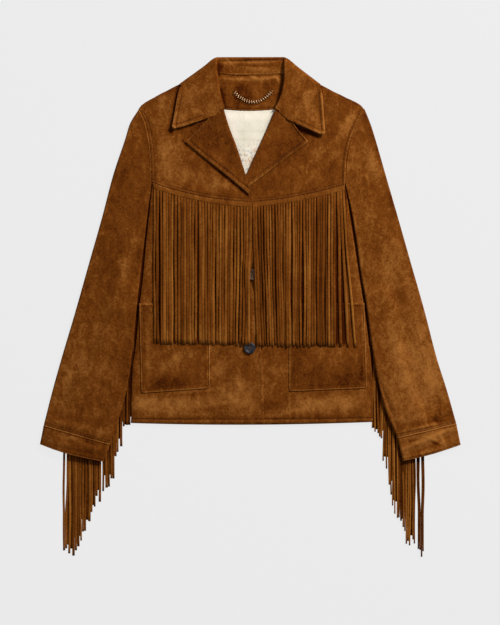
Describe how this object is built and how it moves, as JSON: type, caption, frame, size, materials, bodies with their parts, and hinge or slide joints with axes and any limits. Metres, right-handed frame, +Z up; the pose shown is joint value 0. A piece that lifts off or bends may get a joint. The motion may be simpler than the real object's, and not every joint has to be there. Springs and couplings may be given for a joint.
{
  "type": "fringed suede jacket laid flat",
  "caption": "Fringed suede jacket laid flat, front up: notched collar, buttoned fronts, patch pockets, chest and sleeve fringe.",
  "frame": {"origin": "centre of the footprint, on the surface that the jacket lies on", "axes": "+Z up out of the laid jacket's front, +Y from the hem to the collar, +X to the viewer's right, which is the wearer's left"},
  "size_m": [0.758, 0.9055, 0.0144],
  "materials": {
    "suede": "napped brown suede",
    "suede_fringe": "napped brown suede, cut in strands",
    "lining": "plain cream lining",
    "horn": "dark horn",
    "steel": "fine chain"
  },
  "bodies": {
    "root": {"back_panel": "suede", "back_facing": "suede", "lining_back": "lining", "hanger_chain": "steel", "collar_back": "suede", "collar_left": "suede", "collar_right": "suede", "lapel_left": "suede", "lapel_right": "suede", "yoke_left": "suede", "yoke_right": "suede", "front_left": "suede", "front_right": "suede", "pocket_left": "suede", "pocket_right": "suede", "sleeve_left": "suede", "sleeve_right": "suede", "cuff_left": "suede", "cuff_right": "suede", "chest_fringe_left": "suede_fringe", "chest_fringe_right": "suede_fringe", "sleeve_fringe_left": "suede_fringe", "sleeve_fringe_right": "suede_fringe", "button_upper": "horn", "button_lower": "horn"}
  },
  "joints": []
}
